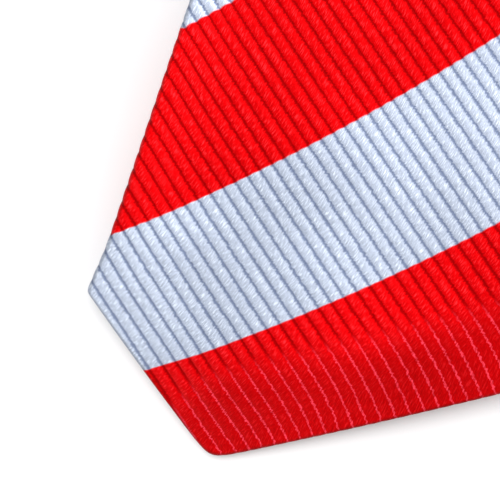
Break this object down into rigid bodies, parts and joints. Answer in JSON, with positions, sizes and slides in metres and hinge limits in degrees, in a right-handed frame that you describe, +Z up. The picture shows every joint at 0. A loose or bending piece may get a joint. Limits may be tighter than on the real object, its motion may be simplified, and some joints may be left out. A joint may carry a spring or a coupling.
{
  "type": "necktie",
  "caption": "Striped silk necktie with a pointed front blade, a slip-stitched back and a keeper loop, folded once at the neck and laid flat with the blade on top.",
  "frame": {"origin": "middle of the table face under the folded tie", "axes": "+Y from the blade's point towards the neck fold, +X across the tie to the right as seen from above with the point nearest, +Z up from the table"},
  "size_m": [0.0809, 0.7686, 0.0171],
  "materials": {
    "striped_silk": "ribbed silk satin in equal red and pale silver-blue block stripes",
    "interlining": "brushed wool felt",
    "tipping": "plain lining satin",
    "label": "woven satin tape, blank",
    "thread": "twisted sewing thread"
  },
  "bodies": {
    "tail": {"neck_fold_shell": "striped_silk", "neck_fold_interlining": "interlining", "neck_shell_tail_side": "striped_silk", "tail_join_seam": "thread", "tail_shell": "striped_silk", "tail_interlining": "interlining", "tail_tipping": "tipping", "tail_hem_stitches": "thread", "tail_slip_stitch": "thread", "tail_bar_tack": "thread", "care_label": "label", "care_label_stitches": "thread"},
    "blade": {"blade_shell": "striped_silk", "blade_interlining": "interlining", "blade_slip_stitch": "thread", "blade_bar_tack": "thread", "blade_join_seam": "thread", "neck_shell_blade_side": "striped_silk", "keeper_loop": "striped_silk", "keeper_loop_stitches": "thread", "brand_label": "label", "brand_label_stitches": "thread"},
    "point": {"point_shell": "striped_silk", "point_interlining": "interlining", "blade_tipping": "tipping", "tipping_hem_stitches": "thread"}
  },
  "joints": [
    {"name": "neck_fold", "type": "hinge", "parent": "tail", "child": "blade", "pos_m": [0, 0.37993, 0.00535], "axis": [-1, 0, 0], "range_deg": [0, 170], "deforming": ["neck_fold_shell", "neck_fold_interlining"]},
    {"name": "blade_point_bend", "type": "hinge", "parent": "blade", "child": "point", "pos_m": [0, -0.27028, 0.0171], "axis": [-1, 0, 0], "range_deg": [0, 60]}
  ]
}
